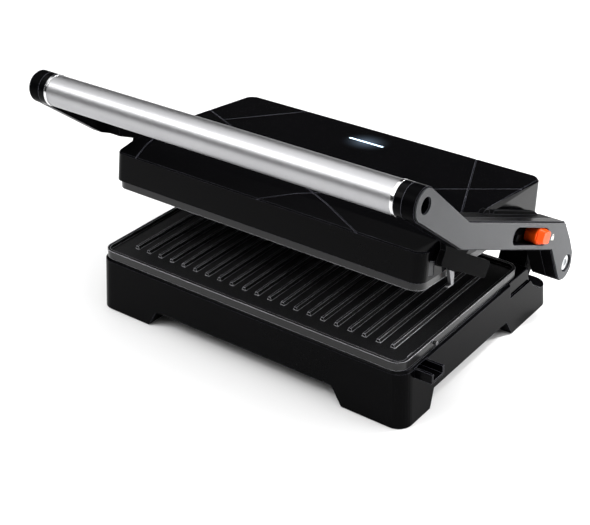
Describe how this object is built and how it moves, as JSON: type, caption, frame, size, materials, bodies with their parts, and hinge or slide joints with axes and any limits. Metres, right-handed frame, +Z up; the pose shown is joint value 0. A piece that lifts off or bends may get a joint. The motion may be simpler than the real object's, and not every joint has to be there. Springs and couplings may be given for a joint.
{
  "type": "panini press",
  "caption": "Countertop contact grill: ribbed lower plate in a four-footed base, floating ribbed lid carried by a hinged yoke with a tubular handle.",
  "frame": {"origin": "on the table, under the centre of the overall bounding box", "axes": "+X to the user's right as they face the handle (the side with the lock button and drip spout), +Y from the handle side to the hinge side, +Z up"},
  "size_m": [0.3177, 0.2358, 0.1913],
  "materials": {
    "gloss_black": "high gloss",
    "matte_black": "fine texture",
    "panel_grey": "satin",
    "coated_casting": "dark non-stick coat, fine grain",
    "handle_aluminium": "brushed round the tube's length",
    "polished": "polished",
    "steel": "satin",
    "zinc": "dull plated",
    "black_steel": "black oxide",
    "element": "oxidised sheath",
    "reflector": "bright sheet",
    "rubber": "matt",
    "ceramic_white": "matt",
    "orange": "semi gloss",
    "led": "clear diffuser",
    "board": "circuit board"
  },
  "bodies": {
    "base": {"lower_housing": "gloss_black", "bottom_cover": "matte_black", "foot_pads": "rubber", "cover_screws": "steel", "bracket_screws": "steel", "lower_plate": "coated_casting", "lower_heater": "element", "lower_reflector": "reflector", "thermostat": "ceramic_white", "terminal_block": "ceramic_white", "cord_gland": "matte_black", "drip_spout": "gloss_black", "hinge_bracket_left": "matte_black", "hinge_bracket_right": "matte_black", "hinge_pin_left": "steel", "hinge_pin_right": "steel"},
    "stop": {"stop_cam_left": "zinc", "stop_cam_right": "zinc"},
    "yoke": {"arm_left": "gloss_black", "arm_right": "gloss_black", "arm_cover_left": "matte_black", "arm_cover_right": "matte_black", "arm_panel_left": "panel_grey", "arm_panel_right": "panel_grey", "handle_tube": "handle_aluminium", "handle_rings": "polished", "end_cap_left": "gloss_black", "end_cap_right": "gloss_black", "handle_rod": "steel", "handle_screws": "black_steel"},
    "lid": {"upper_housing": "gloss_black", "upper_plate": "coated_casting", "upper_heater": "element", "upper_reflector": "reflector", "plate_clips": "steel", "pivot_bracket_left": "steel", "pivot_bracket_right": "steel", "pivot_pin_left": "steel", "pivot_pin_right": "steel", "side_grilles": "panel_grey", "led_lens": "led", "led_board": "board"},
    "lock": {"lock_button": "orange", "lock_tongue": "steel"},
    "hook": {"latch_hook": "zinc"}
  },
  "joints": [
    {"name": "full_opening", "type": "hinge", "parent": "base", "child": "stop", "pos_m": [0, 0.0911, 0.0488], "axis": [-1, 0, 0], "range_deg": [0, 85]},
    {"name": "press_stroke", "type": "hinge", "parent": "stop", "child": "yoke", "pos_m": [0, 0.0911, 0.0488], "axis": [-1, 0, 0], "range_deg": [-17.2, 0]},
    {"name": "lid_tilt", "type": "hinge", "parent": "yoke", "child": "lid", "pos_m": [0, -0.037, 0.1045], "axis": [-1, 0, 0], "range_deg": [0, 11.7]},
    {"name": "lock_slide", "type": "slide", "parent": "yoke", "child": "lock", "axis": [0, -0.9092, 0.4163], "range_m": [0, 0.034]},
    {"name": "hook_swing", "type": "hinge", "parent": "lid", "child": "hook", "pos_m": [0, -0.037, 0.1045], "axis": [-1, 0, 0], "range_deg": [0, 10]}
  ],
  "couplings": [
    {"joint": "lid_tilt", "follows": "press_stroke", "ratio": -0.68}
  ]
}
